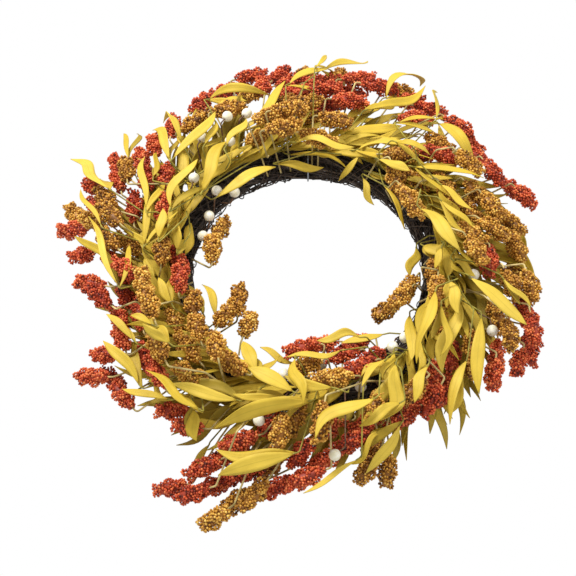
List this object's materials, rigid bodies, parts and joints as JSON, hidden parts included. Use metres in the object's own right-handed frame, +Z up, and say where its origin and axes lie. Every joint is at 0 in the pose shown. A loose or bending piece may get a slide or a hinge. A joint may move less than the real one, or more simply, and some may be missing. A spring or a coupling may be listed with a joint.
{
  "type": "harvest door wreath",
  "caption": "Bound twig ring dressed with mustard leaves, rust and gold sorghum heads and off-white foam berries, hung from a steel ring.",
  "frame": {"origin": "inside the top of the hanging ring, where a hook touches it", "axes": "+Z up, +Y into the door, the wreath's front faces -Y, +X to the right seen from the front"},
  "size_m": [0.5538, 0.1448, 0.6211],
  "materials": {
    "steel": "drawn wire",
    "binding_wire": "dark enamelled wire",
    "twig": "dark bark",
    "leaf": "printed leaf cloth, satin",
    "leaf_stem": "moulded over wire",
    "rust_seed": "grainy",
    "gold_seed": "grainy",
    "straw": "matt",
    "berry": "painted foam",
    "berry_twig": "paper-wrapped wire"
  },
  "bodies": {
    "hanger": {"hanging_ring": "steel"},
    "wreath": {"base_binding_wire": "binding_wire", "berry_pick_1_berries": "berry", "berry_pick_1_twigs": "berry_twig", "berry_pick_2_berries": "berry", "berry_pick_2_twigs": "berry_twig", "berry_pick_3_berries": "berry", "berry_pick_3_twigs": "berry_twig", "core_hoop": "steel", "core_wrap": "twig", "gold_sorghum_1_heads": "gold_seed", "gold_sorghum_1_stalks": "straw", "gold_sorghum_2_heads": "gold_seed", "gold_sorghum_2_stalks": "straw", "gold_sorghum_3_heads": "gold_seed", "gold_sorghum_3_stalks": "straw", "gold_sorghum_4_heads": "gold_seed", "gold_sorghum_4_stalks": "straw", "gold_sorghum_5_heads": "gold_seed", "gold_sorghum_5_stalks": "straw", "gold_sorghum_6_heads": "gold_seed", "gold_sorghum_6_stalks": "straw", "hanger_eye": "steel", "leaf_spray_1_leaves": "leaf", "leaf_spray_1_stems": "leaf_stem", "leaf_spray_2_leaves": "leaf", "leaf_spray_2_stems": "leaf_stem", "leaf_spray_3_leaves": "leaf", "leaf_spray_3_stems": "leaf_stem", "leaf_spray_4_leaves": "leaf", "leaf_spray_4_stems": "leaf_stem", "leaf_spray_5_leaves": "leaf", "leaf_spray_5_stems": "leaf_stem", "leaf_spray_6_leaves": "leaf", "leaf_spray_6_stems": "leaf_stem", "leaf_spray_7_leaves": "leaf", "leaf_spray_7_stems": "leaf_stem", "leaf_spray_8_leaves": "leaf", "leaf_spray_8_stems": "leaf_stem", "rust_sorghum_1_heads": "rust_seed", "rust_sorghum_1_stalks": "straw", "rust_sorghum_2_heads": "rust_seed", "rust_sorghum_2_stalks": "straw", "rust_sorghum_3_heads": "rust_seed", "rust_sorghum_3_stalks": "straw", "rust_sorghum_4_heads": "rust_seed", "rust_sorghum_4_stalks": "straw", "rust_sorghum_5_heads": "rust_seed", "rust_sorghum_5_stalks": "straw", "rust_sorghum_6_heads": "rust_seed", "rust_sorghum_6_stalks": "straw", "twig_strand_1": "twig", "twig_strand_2": "twig", "twig_strand_3": "twig", "twig_strand_4": "twig", "twig_strand_5": "twig", "twig_strand_6": "twig"}
  },
  "joints": [
    {"name": "wreath_swing", "type": "hinge", "parent": "hanger", "child": "wreath", "pos_m": [0, 0, -0.03275], "axis": [-1, 0, 0], "range_deg": [0, 60]}
  ]
}
